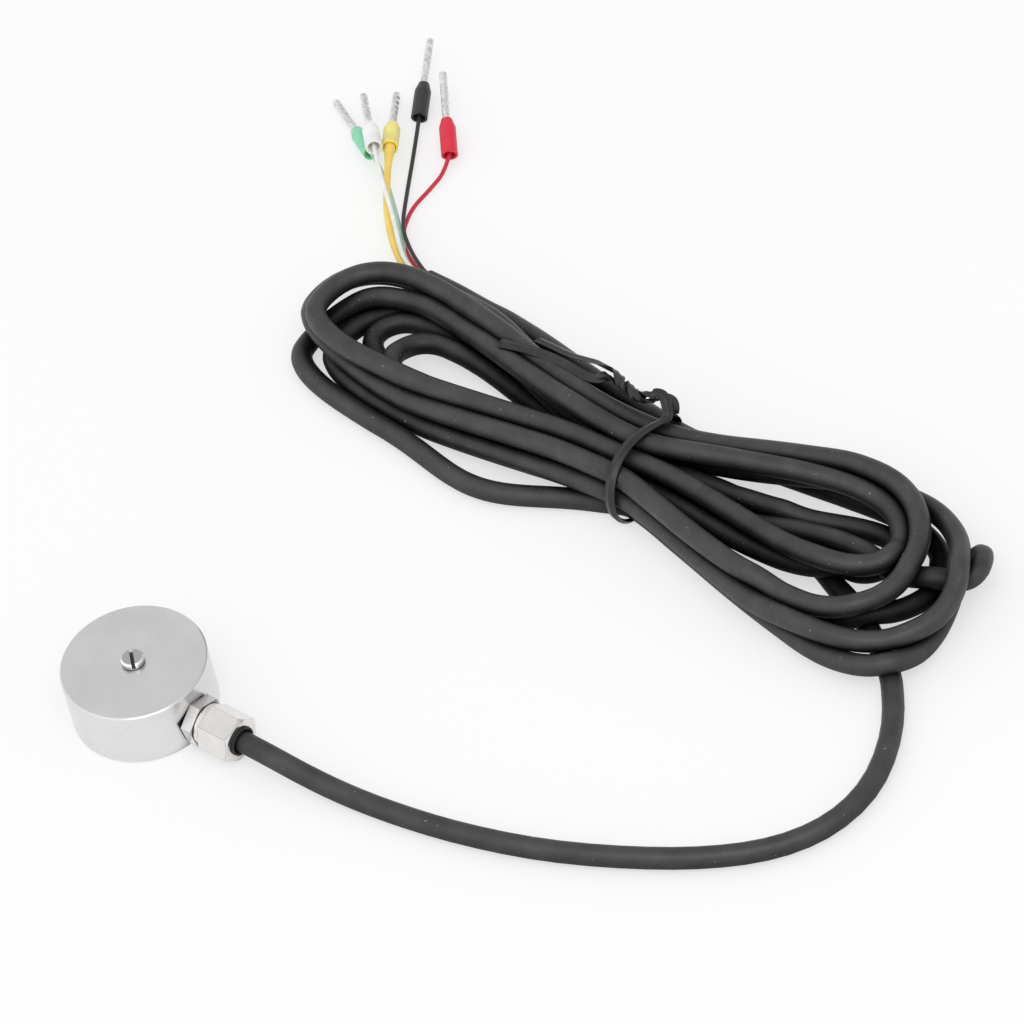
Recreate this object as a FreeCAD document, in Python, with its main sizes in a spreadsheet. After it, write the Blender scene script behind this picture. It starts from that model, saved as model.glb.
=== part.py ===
import FreeCAD, Part
import math
import os
import Sketcher

# Tension and compression force sensor with a tied cable hank.
# Row frame in millimetres: origin at the centre of the base, Z up the load axis, gland along X.

Vector = FreeCAD.Vector
Rotation = FreeCAD.Rotation
Placement = FreeCAD.Placement

document = FreeCAD.newDocument("force_sensor")
sheet = document.addObject("Spreadsheet::Sheet", "Sizes")

# Driving sizes in millimetres.
DRIVING = [
    ("body_diameter", 20),
    ("body_height", 9),
    ("body_edge", 0.2),
    ("body_wall", 2.2),
    ("diaphragm_thickness", 1.6),
    ("hub_diameter", 6.5),
    ("hub_depth", 2.8),
    ("cover_ledge", 1),
    ("cover_thickness", 0.6),
    ("cover_clearance", 0.03),
    ("boss_diameter", 6),
    ("boss_height", 2.6),
    ("base_thread_diameter", 2.5),
    ("load_thread_diameter", 2.5),
    ("load_thread_length", 4),
    ("button_diameter", 3.2),
    ("button_height", 1),
    ("button_edge", 0.25),
    ("button_undercut", 0.1),
    ("slot_width", 0.5),
    ("slot_depth", 0.8),
    ("thread_clearance", 0.02),
    ("gauge_length", 2.2),
    ("gauge_width", 1.4),
    ("gauge_thickness", 0.1),
    ("gauge_orbit", 5.3),
    ("board_width", 3),
    ("board_thickness", 0.6),
    ("board_clearance", 0.2),
    ("pad_hole_diameter", 0.8),
    ("gland_height", 3.5),
    ("gland_thread_diameter", 5),
    ("gland_thread_length", 2.6),
    ("gland_hole_run_out", 1),
    ("gland_hex_flats", 6),
    ("gland_hex_length", 1.7),
    ("spigot_diameter", 4.6),
    ("spigot_length", 3),
    ("nut_gap", 0.1),
    ("nut_collar_diameter", 5.9),
    ("nut_collar_length", 0.8),
    ("nut_hex_length", 5.05),
    ("nut_face_diameter", 5.7),
    ("nut_lip", 0.9),
    ("mouth_diameter", 4.15),
    ("seal_clearance", 0.02),
    ("seal_stand", 0.35),
    ("seal_recess", 0.3),
    ("cable_diameter", 3),
    ("cable_clearance", 0.1),
    ("cable_grip", 0.02),
    ("cable_inside", 3),
    ("sleeve_diameter", 2.4),
    ("sleeve_length", 6),
    ("sleeve_taper", 1.4),
    ("sleeve_neck_diameter", 1.6),
    ("sleeve_mouth_diameter", 1.8),
    ("sleeve_mouth_depth", 2.5),
    ("pin_diameter", 1.1),
    ("pin_length", 8),
    ("pin_seat", 1),
    ("pin_clearance", 0.01),
    ("notch_depth", 0.14),
    ("notch_width", 0.7),
    ("notch_pitch", 1.3),
    ("wire_diameter", 0.6),
    ("yellow_wire_diameter", 1),
    ("hank_height", 9),
    ("waist_near", 6.2),
    ("waist_far", 9),
    ("waist_half_width", 1),
    ("tie_width", 1.2),
    ("tie_thickness", 0.55),
    ("tie_clearance", 0.05),
    ("twist_diameter", 1.7),
    ("twist_offset", 6.5),
    ("twist_length", 9),
]

# Sizes that follow from the driving ones.
DERIVED = [
    ("body_radius", "body_diameter / 2"),
    ("body_face_radius", "body_radius - body_edge"),
    ("body_edge_top", "body_height - body_edge"),
    ("cavity_radius", "body_radius - body_wall"),
    ("cavity_top", "body_height - diaphragm_thickness"),
    ("hub_radius", "hub_diameter / 2"),
    ("hub_bottom", "cavity_top - hub_depth"),
    ("hub_bore_radius", "load_thread_diameter / 2 + thread_clearance"),
    ("recess_radius", "cavity_radius + cover_ledge"),
    ("cover_radius", "recess_radius - cover_clearance"),
    ("base_thread_radius", "base_thread_diameter / 2"),
    ("boss_radius", "boss_diameter / 2"),
    ("boss_top", "cover_thickness + boss_height"),
    ("board_inner_radius", "boss_radius + board_clearance"),
    ("board_outer_radius", "board_inner_radius + board_width"),
    ("board_top", "cover_thickness + board_thickness"),
    ("board_middle", "(board_inner_radius + board_outer_radius) / 2"),
    ("pad_hole_radius", "pad_hole_diameter / 2"),
    ("screw_radius", "load_thread_diameter / 2"),
    ("screw_bottom", "body_height - load_thread_length"),
    ("button_radius", "button_diameter / 2"),
    ("button_seat_radius", "button_radius - button_undercut"),
    ("button_wall_bottom", "body_height + button_undercut"),
    ("button_top", "body_height + button_height"),
    ("button_wall_top", "button_top - button_edge"),
    ("button_face_radius", "button_radius - button_edge"),
    ("slot_half", "slot_width / 2"),
    ("gland_hole_radius", "gland_thread_diameter / 2 + thread_clearance"),
    ("gland_hole_depth", "body_wall + gland_hole_run_out"),
    ("spigot_end", "gland_hex_length + spigot_length"),
    ("nut_start", "gland_hex_length + nut_gap"),
    ("nut_length", "nut_collar_length + nut_hex_length"),
    ("nut_end", "nut_start + nut_length"),
    ("nut_bore_depth", "nut_length - nut_lip"),
    ("nut_bore_radius", "spigot_diameter / 2 + thread_clearance"),
    ("seal_length", "nut_end - nut_lip - spigot_end"),
    ("seal_radius", "nut_bore_radius - seal_clearance"),
    ("seal_nose_radius", "mouth_diameter / 2 - seal_clearance"),
    ("seal_end", "seal_length + nut_lip + seal_stand"),
    ("seal_bore_radius", "cable_diameter / 2 + cable_grip"),
    ("seal_recess_radius", "seal_bore_radius + seal_recess"),
    ("seal_recess_bottom", "seal_end - seal_recess * 2"),
    ("cable_mouth", "body_radius + spigot_end + seal_end"),
    ("sleeve_radius", "sleeve_diameter / 2"),
    ("sleeve_barrel", "sleeve_length - sleeve_taper"),
    ("sleeve_neck_radius", "sleeve_neck_diameter / 2"),
    ("sleeve_mouth_radius", "sleeve_mouth_diameter / 2"),
    ("sleeve_front_bore", "pin_diameter / 2 + pin_clearance"),
    ("pin_start", "sleeve_length - pin_seat"),
    ("pin_radius", "pin_diameter / 2"),
    ("pin_end", "sleeve_length + pin_length"),
    ("pin_edge", "pin_radius - notch_depth"),
    ("pin_edge_end", "pin_end - notch_depth"),
    ("notch_bottom", "sleeve_length + notch_pitch - notch_width / 2"),
    ("notch_middle", "sleeve_length + notch_pitch"),
    ("notch_top", "sleeve_length + notch_pitch + notch_width / 2"),
    ("tie_groove", "tie_thickness + tie_clearance * 2"),
    ("tie_inner_bottom", "tie_groove - tie_clearance"),
    ("tie_inner_top", "hank_height + tie_clearance"),
    ("tie_inner_near", "waist_near + tie_clearance"),
    ("tie_inner_far", "waist_far + tie_clearance"),
    ("tie_outer_bottom", "tie_inner_bottom - tie_thickness"),
    ("tie_outer_top", "tie_inner_top + tie_thickness"),
    ("tie_outer_near", "tie_inner_near + tie_thickness"),
    ("tie_outer_far", "tie_inner_far + tie_thickness"),
    ("twist_radius", "twist_diameter / 2"),
    ("twist_height", "tie_inner_top + twist_radius"),
]

row_number = 0
for alias, value in DRIVING:
    row_number += 1
    sheet.set("A%d" % row_number, alias)
    sheet.set("B%d" % row_number, str(value))
    sheet.setAlias("B%d" % row_number, alias)
for alias, formula in DERIVED:
    row_number += 1
    sheet.set("A%d" % row_number, alias)
    sheet.set("B%d" % row_number, "=" + formula)
    sheet.setAlias("B%d" % row_number, alias)
document.recompute()


def size(alias):
    return float(sheet.get(alias))


def new_body(name):
    body = document.addObject("PartDesign::Body", name)
    body.Label = name
    return body


def new_sketch(body, name, role, height=None):
    sketch = body.newObject("Sketcher::SketchObject", name)
    plane = next(item for item in body.Origin.OriginFeatures if item.Role == role)
    sketch.AttachmentSupport = (plane, [""])
    sketch.MapMode = "FlatFace"
    if height:
        sketch.setExpression("AttachmentOffset.Base.z", "Sizes." + height)
    return sketch


def pin_point(sketch, edge, end, across, upward):
    # Hold one end of a sketch edge at two sheet sizes; None means on the axis.
    for word, alias, axis in (("DistanceX", across, -2), ("DistanceY", upward, -1)):
        if alias is None:
            sketch.addConstraint(Sketcher.Constraint("PointOnObject", edge, end, axis))
            continue
        sign = -1 if alias.startswith("-") else 1
        plain = alias.lstrip("-")
        index = sketch.addConstraint(Sketcher.Constraint(word, -1, 1, edge, end, sign * size(plain)))
        sketch.setExpression("Constraints[%d]" % index, ("-" if sign < 0 else "") + "Sizes." + plain)


def signed(alias):
    if alias is None:
        return 0.0
    return -size(alias[1:]) if alias.startswith("-") else size(alias)


def draw_loop(sketch, corners):
    points = [Vector(signed(across), signed(upward), 0) for across, upward in corners]
    count = len(points)
    first = sketch.GeometryCount
    for k in range(count):
        sketch.addGeometry(Part.LineSegment(points[k], points[(k + 1) % count]), False)
    for k in range(count):
        sketch.addConstraint(Sketcher.Constraint("Coincident", first + k, 2, first + (k + 1) % count, 1))
    for k in range(count):
        pin_point(sketch, first + k, 1, corners[k][0], corners[k][1])


def draw_circle(sketch, across, upward, radius):
    centre = Vector(signed(across), signed(upward), 0)
    edge = sketch.addGeometry(Part.Circle(centre, Vector(0, 0, 1), size(radius)), False)
    pin_point(sketch, edge, 3, across, upward)
    index = sketch.addConstraint(Sketcher.Constraint("Radius", edge, size(radius)))
    sketch.setExpression("Constraints[%d]" % index, "Sizes." + radius)


def turn(body, name, corners):
    sketch = new_sketch(body, name + "_profile", "XZ_Plane")
    draw_loop(sketch, corners)
    feature = body.newObject("PartDesign::Revolution", name)
    feature.Profile = sketch
    feature.ReferenceAxis = (sketch, ["V_Axis"])
    feature.Angle = 360
    return feature


def cylinder(name, radius, height, start):
    solid = document.addObject("Part::Cylinder", name)
    solid.setExpression("Radius", radius)
    solid.setExpression("Height", height)
    solid.setExpression("Placement.Base.z", start)
    return solid


def hexagon(name, flats, height, start):
    solid = document.addObject("Part::Prism", name)
    solid.Polygon = 6
    solid.setExpression("Circumradius", flats + " / 2 / cos(30)")
    solid.setExpression("Height", height)
    solid.setExpression("Placement.Base.z", start)
    return solid


def fuse(name, pieces):
    solid = document.addObject("Part::MultiFuse", name)
    solid.Shapes = pieces
    return solid


def cut(name, base, tool):
    solid = document.addObject("Part::Cut", name)
    solid.Base = base
    solid.Tool = tool
    solid.Label = name
    return solid


# Turned body: rim, diaphragm top, inner hub for the load screw and recess for the cover.
sensor_body = new_body("sensor_body")
turn(sensor_body, "body_turning", [
    ("recess_radius", None),
    ("body_face_radius", None),
    ("body_radius", "body_edge"),
    ("body_radius", "body_edge_top"),
    ("body_face_radius", "body_height"),
    ("hub_bore_radius", "body_height"),
    ("hub_bore_radius", "hub_bottom"),
    ("hub_radius", "hub_bottom"),
    ("hub_radius", "cavity_top"),
    ("cavity_radius", "cavity_top"),
    ("cavity_radius", "cover_thickness"),
    ("recess_radius", "cover_thickness"),
])
gland_hole_sketch = new_sketch(sensor_body, "gland_hole_sketch", "YZ_Plane", "body_radius")
draw_circle(gland_hole_sketch, None, "gland_height", "gland_hole_radius")
gland_hole = sensor_body.newObject("PartDesign::Pocket", "gland_hole")
gland_hole.Profile = gland_hole_sketch
gland_hole.setExpression("Length", "Sizes.gland_hole_depth")

# Cover closing the base, with the threaded boss for the fixing screw.
base_cover = new_body("base_cover")
turn(base_cover, "cover_turning", [
    ("base_thread_radius", None),
    ("cover_radius", None),
    ("cover_radius", "cover_thickness"),
    ("boss_radius", "cover_thickness"),
    ("boss_radius", "boss_top"),
    ("base_thread_radius", "boss_top"),
])

# Slotted load screw: thread in the hub, button with a small undercut on the top face.
load_screw = new_body("load_screw")
turn(load_screw, "screw_turning", [
    (None, "screw_bottom"),
    ("screw_radius", "screw_bottom"),
    ("screw_radius", "body_height"),
    ("button_seat_radius", "body_height"),
    ("button_radius", "button_wall_bottom"),
    ("button_radius", "button_wall_top"),
    ("button_face_radius", "button_top"),
    (None, "button_top"),
])
slot_sketch = new_sketch(load_screw, "slot_sketch", "XY_Plane", "button_top")
draw_loop(slot_sketch, [
    ("-button_radius", "-slot_half"),
    ("button_radius", "-slot_half"),
    ("button_radius", "slot_half"),
    ("-button_radius", "slot_half"),
])
screw_slot = load_screw.newObject("PartDesign::Pocket", "screw_slot")
screw_slot.Profile = slot_sketch
screw_slot.setExpression("Length", "Sizes.slot_depth")
SLOT_HEADING = -42
load_screw.Placement = Placement(Vector(0, 0, 0), Rotation(Vector(0, 0, 1), SLOT_HEADING))

# Foil gauges under the diaphragm and the ring board on the cover.
gauge_boxes = []
for quarter in range(4):
    gauge = document.addObject("Part::Box", "gauge_%d" % (quarter + 1))
    gauge.setExpression("Length", "Sizes.gauge_length")
    gauge.setExpression("Width", "Sizes.gauge_width")
    gauge.setExpression("Height", "Sizes.gauge_thickness")
    heading = 45 + 90 * quarter
    corner = Vector(size("gauge_orbit") - size("gauge_length") / 2, -size("gauge_width") / 2, 0)
    spin = Rotation(Vector(0, 0, 1), heading)
    gauge.Placement = Placement(spin.multVec(corner), spin)
    gauge.setExpression("Placement.Base.z", "Sizes.cavity_top - Sizes.gauge_thickness")
    gauge_boxes.append(gauge)
strain_gauges = document.addObject("Part::Compound", "strain_gauges")
strain_gauges.Label = "strain_gauges"
strain_gauges.Links = gauge_boxes

terminal_board = new_body("terminal_board")
turn(terminal_board, "board_ring", [
    ("board_inner_radius", "cover_thickness"),
    ("board_outer_radius", "cover_thickness"),
    ("board_outer_radius", "board_top"),
    ("board_inner_radius", "board_top"),
])
pad_sketch = new_sketch(terminal_board, "pad_sketch", "XY_Plane", "board_top")
draw_circle(pad_sketch, "board_middle", None, "pad_hole_radius")
pad_hole = terminal_board.newObject("PartDesign::Pocket", "pad_hole")
pad_hole.Profile = pad_sketch
pad_hole.setExpression("Length", "Sizes.board_thickness")
pad_holes = terminal_board.newObject("PartDesign::PolarPattern", "pad_holes")
pad_holes.Originals = [pad_hole]
pad_holes.Axis = (pad_sketch, ["N_Axis"])
pad_holes.Angle = 360
pad_holes.Occurrences = 5
terminal_board.Tip = pad_holes

# Cable gland, drawn along its own Z axis and then laid along X.
GLAND_HEX_TURN = 9.9
NUT_HEX_TURN = -13.7
along_x = Rotation(Vector(0, 1, 0), 90)


def lay_along_x(piece, spin, start):
    piece.Placement = Placement(Vector(0, 0, 0), along_x.multiply(Rotation(Vector(0, 0, 1), spin)))
    piece.setExpression("Placement.Base.x", "Sizes.body_radius" + start)
    piece.setExpression("Placement.Base.z", "Sizes.gland_height")


gland_solid = fuse("gland_solid", [
    cylinder(
        "gland_thread",
        "Sizes.gland_thread_diameter / 2",
        "Sizes.gland_thread_length",
        "-Sizes.gland_thread_length",
    ),
    hexagon("gland_hex", "Sizes.gland_hex_flats", "Sizes.gland_hex_length", "0"),
    cylinder("gland_spigot", "Sizes.spigot_diameter / 2", "Sizes.spigot_end", "0"),
])
gland_bore = cylinder(
    "gland_bore",
    "Sizes.cable_diameter / 2 + Sizes.cable_clearance",
    "Sizes.gland_thread_length + Sizes.spigot_end",
    "-Sizes.gland_thread_length",
)
gland_body = cut("gland_body", gland_solid, gland_bore)
lay_along_x(gland_body, GLAND_HEX_TURN, "")

nut_hex = hexagon("nut_hex", "Sizes.gland_hex_flats", "Sizes.nut_hex_length", "Sizes.nut_collar_length")
nut_cone = document.addObject("Part::Cone", "nut_cone")
nut_cone.setExpression("Radius1", "Sizes.nut_face_diameter / 2 + Sizes.nut_hex_length * tan(60)")
nut_cone.setExpression("Radius2", "Sizes.nut_face_diameter / 2")
nut_cone.setExpression("Height", "Sizes.nut_hex_length")
nut_cone.setExpression("Placement.Base.z", "Sizes.nut_collar_length")
nut_faced = document.addObject("Part::Common", "nut_faced")
nut_faced.Base = nut_hex
nut_faced.Tool = nut_cone
nut_solid = fuse("nut_solid", [
    nut_faced,
    cylinder("nut_collar", "Sizes.nut_collar_diameter / 2", "Sizes.nut_collar_length", "0"),
])
nut_inside = fuse("nut_inside", [
    cylinder("nut_bore", "Sizes.nut_bore_radius", "Sizes.nut_bore_depth", "0"),
    cylinder("nut_mouth", "Sizes.mouth_diameter / 2", "Sizes.nut_length", "0"),
])
gland_nut = cut("gland_nut", nut_solid, nut_inside)
lay_along_x(gland_nut, NUT_HEX_TURN, " + Sizes.nut_start")

gland_seal = new_body("gland_seal")
turn(gland_seal, "seal_turning", [
    ("seal_bore_radius", None),
    ("seal_radius", None),
    ("seal_radius", "seal_length"),
    ("seal_nose_radius", "seal_length"),
    ("seal_nose_radius", "seal_end"),
    ("seal_recess_radius", "seal_end"),
    ("seal_bore_radius", "seal_recess_bottom"),
])
lay_along_x(gland_seal, 0, " + Sizes.spigot_end")

# Stretch of the cable that the gland holds.
cable_entry = document.addObject("Part::Cylinder", "cable_entry")
cable_entry.Label = "cable_entry"
cable_entry.setExpression("Radius", "Sizes.cable_diameter / 2")
cable_entry.setExpression("Height", "Sizes.cable_mouth - Sizes.body_radius + Sizes.cable_inside")
lay_along_x(cable_entry, 0, " - Sizes.cable_inside")


# Share of a run that an arc takes at each of its ends.
ARC_SHARE = 0.45


def tube(name, points, diameter):
    # Round tube along straight runs joined by tangent arcs.
    runs = [points[k + 1] - points[k] for k in range(len(points) - 1)]
    edges = []
    last = points[0]
    tightest = None
    for k in range(1, len(points) - 1):
        before = Vector(runs[k - 1]).normalize()
        after = Vector(runs[k]).normalize()
        half = before.getAngle(after) / 2
        trim = ARC_SHARE * min(runs[k - 1].Length, runs[k].Length)
        radius = trim / math.tan(half)
        tightest = radius if tightest is None else min(tightest, radius)
        enter = points[k] - before * trim
        leave = points[k] + after * trim
        inward = (after - before).normalize()
        middle = points[k] + inward * (radius / math.cos(half) - radius)
        edges.append(Part.LineSegment(last, enter).toShape())
        edges.append(Part.Arc(enter, middle, leave).toShape())
        last = leave
    edges.append(Part.LineSegment(last, points[-1]).toShape())
    spine = Part.Wire(edges)
    start = Vector(runs[0]).normalize()
    section = Part.Wire([Part.Circle(points[0], start, diameter / 2).toShape()])
    solid = spine.makePipeShell([section], True, True)
    feature = document.addObject("Part::Feature", name)
    feature.Label = name
    feature.Shape = solid
    ideal = math.pi * diameter ** 2 / 4 * spine.Length
    print("%s length %.1f tightest radius %.1f volume ratio %.4f" % (
        name, spine.Length, tightest, solid.Volume / ideal))
    return feature


# Free stretch of the cable, from the gland's mouth over the floor to the hank.
gland_axis = size("gland_height")
on_floor = size("cable_diameter") / 2
LEAD_POINTS = [
    Vector(size("cable_mouth"), 0, gland_axis),
    Vector(22.5, 0, gland_axis),
    Vector(28.5, 0.5, 2.3),
    Vector(35, 1.2, on_floor),
    Vector(43, 2.2, on_floor),
    Vector(52, 4, on_floor),
    Vector(63, 7.4, on_floor),
    Vector(74, 12.6, on_floor),
    Vector(82.5, 17.8, on_floor),
    Vector(89, 23.6, on_floor),
    Vector(92.8, 30.5, on_floor),
    Vector(93.4, 38.5, on_floor),
    Vector(90.2, 47.1, on_floor),
    Vector(85.35, 53.46, on_floor),
]
cable_lead = tube("cable_lead", LEAD_POINTS, size("cable_diameter"))

# Outer shape of the tied hank, drawn round the tie with its own U and V axes.
TIE_CENTRE = Vector(34.9, 64.8, 0)
HANK_HEADING = 9.9
hank_place = Placement(TIE_CENTRE, Rotation(Vector(0, 0, 1), HANK_HEADING))
to_hank = hank_place.inverse()
FLAT_HALF = 1.9

lead_end = LEAD_POINTS[-1]
lead_way = Vector(lead_end - LEAD_POINTS[-2]).normalize()
lead_side = Vector(-lead_way.y, lead_way.x, 0) * FLAT_HALF
lead_flat = [to_hank.multVec(lead_end + lead_side), to_hank.multVec(lead_end - lead_side)]
JACKET_END = Vector(-15, 80.1, 0)
jacket_flat = [
    to_hank.multVec(JACKET_END + Vector(0, FLAT_HALF, 0)),
    to_hank.multVec(JACKET_END - Vector(0, FLAT_HALF, 0)),
]

near = -size("waist_near")
far = size("waist_far")
half = size("waist_half_width")
step = size("tie_groove")
HANK_OUTLINE = [
    ((half, near), None),
    ((half, near - step), None),
    ((22.8, -16.9), (12, -11.7)),
    ((lead_flat[0].x, lead_flat[0].y), (34, -20.4)),
    ((lead_flat[1].x, lead_flat[1].y), None),
    ((51.6, -3), (51.9, -11)),
    ((46.2, 7.8), (50.6, 4.2)),
    ((12, 10.6), (30, 12.7)),
    ((half, far + step), (6, 9.9)),
    ((half, far), None),
    ((-half, far), None),
    ((-half, far + step), None),
    ((jacket_flat[0].x, jacket_flat[0].y), (-24, 18.6)),
    ((jacket_flat[1].x, jacket_flat[1].y), None),
    ((-59.4, 11), (-56, 19)),
    ((-50, -2.4), (-57.4, 3.2)),
    ((-22, -8.4), (-36, -6.9)),
    ((-half, near - step), (-11, -8.1)),
    ((-half, near), None),
]

# Openings inside the two bights of the hank.
LEFT_EYE = [((-40.6, 6.3), (-41.6, 8.6)), ((-17, 4.3), (-29, 5)), ((-38.6, 9.6), (-27, 7.8))]
RIGHT_EYE = [((37.6, 0.4), (25, 1.9)), ((30, -5), (35.4, -3.6)), ((13, -1.2), (21, -3.6))]


def draw_outline(sketch, stretches):
    # Closed line of straight stretches and arcs; each entry is an end point and a point on the way there.
    for k in range(len(stretches)):
        end, via = stretches[k]
        begin = Vector(*stretches[k - 1][0], 0)
        if via is None:
            sketch.addGeometry(Part.LineSegment(begin, Vector(*end, 0)), False)
        else:
            sketch.addGeometry(Part.Arc(begin, Vector(*via, 0), Vector(*end, 0)), False)


cable_hank = new_body("cable_hank")
outline = new_sketch(cable_hank, "hank_outline", "XY_Plane")
draw_outline(outline, HANK_OUTLINE)
draw_outline(outline, LEFT_EYE)
draw_outline(outline, RIGHT_EYE)
hank_pad = cable_hank.newObject("PartDesign::Pad", "hank_pad")
hank_pad.Profile = outline
hank_pad.setExpression("Length", "Sizes.hank_height")
groove_sketch = new_sketch(cable_hank, "groove_sketch", "XY_Plane")
draw_loop(groove_sketch, [
    ("-waist_half_width", "-tie_outer_near"),
    ("waist_half_width", "-tie_outer_near"),
    ("waist_half_width", "tie_outer_far"),
    ("-waist_half_width", "tie_outer_far"),
])
tie_groove = cable_hank.newObject("PartDesign::Pocket", "tie_groove_cut")
tie_groove.Profile = groove_sketch
tie_groove.setExpression("Length", "Sizes.tie_groove")
tie_groove.Reversed = True
cable_hank.Placement = hank_place

# Twist tie: band round the waist, twist on top and two flat tails.
twist_tie = new_body("twist_tie")
band_sketch = new_sketch(twist_tie, "band_sketch", "YZ_Plane")
draw_loop(band_sketch, [
    ("-tie_outer_near", "tie_outer_bottom"),
    ("tie_outer_far", "tie_outer_bottom"),
    ("tie_outer_far", "tie_outer_top"),
    ("-tie_outer_near", "tie_outer_top"),
])
draw_loop(band_sketch, [
    ("-tie_inner_near", "tie_inner_bottom"),
    ("tie_inner_far", "tie_inner_bottom"),
    ("tie_inner_far", "tie_inner_top"),
    ("-tie_inner_near", "tie_inner_top"),
])
band = twist_tie.newObject("PartDesign::Pad", "band")
band.Profile = band_sketch
band.Midplane = True
band.setExpression("Length", "Sizes.tie_width")
twist_sketch = new_sketch(twist_tie, "twist_sketch", "YZ_Plane")
draw_circle(twist_sketch, "twist_offset", "twist_height", "twist_radius")
twist = twist_tie.newObject("PartDesign::Pad", "twist")
twist.Profile = twist_sketch
twist.Reversed = True
twist.setExpression("Length", "Sizes.twist_length")
TAILS = [
    [(-8, 5.75), (-8.2, 6.95), (-27.4, 11.6), (-27.1, 10.4)],
    [(-8.3, 6), (-7.8, 7.2), (-20.2, 15), (-20.8, 14)],
]
for number, corners in enumerate(TAILS):
    tail_sketch = new_sketch(twist_tie, "tail_sketch_%d" % (number + 1), "XY_Plane", "tie_inner_top")
    for k in range(4):
        start = Vector(corners[k - 1][0], corners[k - 1][1], 0)
        tail_sketch.addGeometry(Part.LineSegment(start, Vector(corners[k][0], corners[k][1], 0)), False)
    tail = twist_tie.newObject("PartDesign::Pad", "tail_%d" % (number + 1))
    tail.Profile = tail_sketch
    tail.setExpression("Length", "Sizes.tie_thickness")
twist_tie.Placement = hank_place

# Cores of the cable: the last point of each is the back of its ferrule sleeve.
WIRES = {
    "black": [
        (-15, 80.6, 1.95), (-19, 80.6, 1.95), (-24.3, 85, 1.7),
        (-28.6, 91.6, 0.6), (-33.6, 99.8, 0.75), (-36, 103.8, 1.35),
    ],
    "red": [
        (-15, 80.65, 1.1), (-19, 80.65, 1.1), (-24, 85.5, 0.4),
        (-25.2, 90.6, 0.35), (-24.9, 97.2, 0.55), (-27.4, 100.1, 1.4),
    ],
    "yellow": [
        (-15, 79.55, 1.5), (-19.6, 79.55, 1.5), (-26, 84.4, 3.3),
        (-31.2, 91.6, 5), (-34, 95.3, 3.95),
    ],
    "white": [
        (-15, 79.85, 2.35), (-19.4, 79.85, 2.35), (-24.6, 84.6, 4.3),
        (-30.9, 89.6, 6.6), (-34.8, 93.15, 5.5),
    ],
    "green": [
        (-15, 79.95, 0.65), (-19.4, 79.95, 0.65), (-25.5, 86, 0.8),
        (-32.6, 92, 3.1), (-36.8, 94.2, 2.5),
    ],
}


def make_sleeve(colour, place):
    sleeve = new_body("ferrule_sleeve_" + colour)
    turn(sleeve, "sleeve_turning_" + colour, [
        ("sleeve_mouth_radius", None),
        ("sleeve_radius", None),
        ("sleeve_radius", "sleeve_barrel"),
        ("sleeve_neck_radius", "sleeve_length"),
        ("sleeve_front_bore", "sleeve_length"),
        ("sleeve_front_bore", "pin_start"),
        (None, "pin_start"),
        (None, "sleeve_mouth_depth"),
        ("sleeve_mouth_radius", "sleeve_mouth_depth"),
    ])
    sleeve.Placement = place
    return sleeve


def make_pin(colour, place):
    pin = new_body("ferrule_pin_" + colour)
    turn(pin, "pin_turning_" + colour, [
        (None, "pin_start"),
        ("pin_radius", "pin_start"),
        ("pin_radius", "pin_edge_end"),
        ("pin_edge", "pin_end"),
        (None, "pin_end"),
    ])
    notch_sketch = new_sketch(pin, "notch_sketch_" + colour, "XZ_Plane")
    for side in ("", "-"):
        draw_loop(notch_sketch, [
            (side + "pin_radius", "notch_bottom"),
            (side + "pin_edge", "notch_middle"),
            (side + "pin_radius", "notch_top"),
        ])
    notch = pin.newObject("PartDesign::Pocket", "notch_" + colour)
    notch.Profile = notch_sketch
    notch.Midplane = True
    notch.setExpression("Length", "Sizes.pin_diameter * 2")
    notches = pin.newObject("PartDesign::LinearPattern", "notches_" + colour)
    notches.Originals = [notch]
    notches.Direction = (notch_sketch, ["V_Axis"])
    notches.Occurrences = 5
    notches.setExpression("Length", "Sizes.notch_pitch * 4")
    pin.Tip = notches
    pin.Placement = place
    return pin


wires = []
ferrules = []
for colour, listed in WIRES.items():
    points = [Vector(*point) for point in listed]
    way = Vector(points[-1] - points[-2]).normalize()
    back = points[-1]
    points[-1] = back + way * size("sleeve_mouth_depth")
    thickness = size("yellow_wire_diameter") if colour == "yellow" else size("wire_diameter")
    wires.append(tube("wire_" + colour, points, thickness))
    place = Placement(back, Rotation(Vector(0, 0, 1), way))
    ferrules.append(make_sleeve(colour, place))
    ferrules.append(make_pin(colour, place))

document.recompute()

NODES = [
    sensor_body, base_cover, load_screw, strain_gauges, terminal_board,
    gland_body, gland_nut, gland_seal, cable_entry, cable_lead, cable_hank, twist_tie,
] + wires + ferrules

for item in document.Objects:
    if "Invalid" in item.State or "Error" in item.State:
        raise RuntimeError("feature failed: " + item.Name)
os.makedirs("parts", exist_ok=True)
for node in NODES:
    if node.Shape.isNull() or not node.Shape.isValid():
        raise RuntimeError("bad shape: " + node.Label)
    box = node.Shape.BoundBox
    print("%-24s volume %9.3f solids %d  x %.2f..%.2f y %.2f..%.2f z %.2f..%.2f" % (
        node.Label, node.Shape.Volume, len(node.Shape.Solids),
        box.XMin, box.XMax, box.YMin, box.YMax, box.ZMin, box.ZMax))
    node.Shape.exportStep("parts/" + node.Label + ".step")
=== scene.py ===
import math

import bpy
import bmesh
import numpy as np
from mathutils import Matrix, Vector


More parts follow.
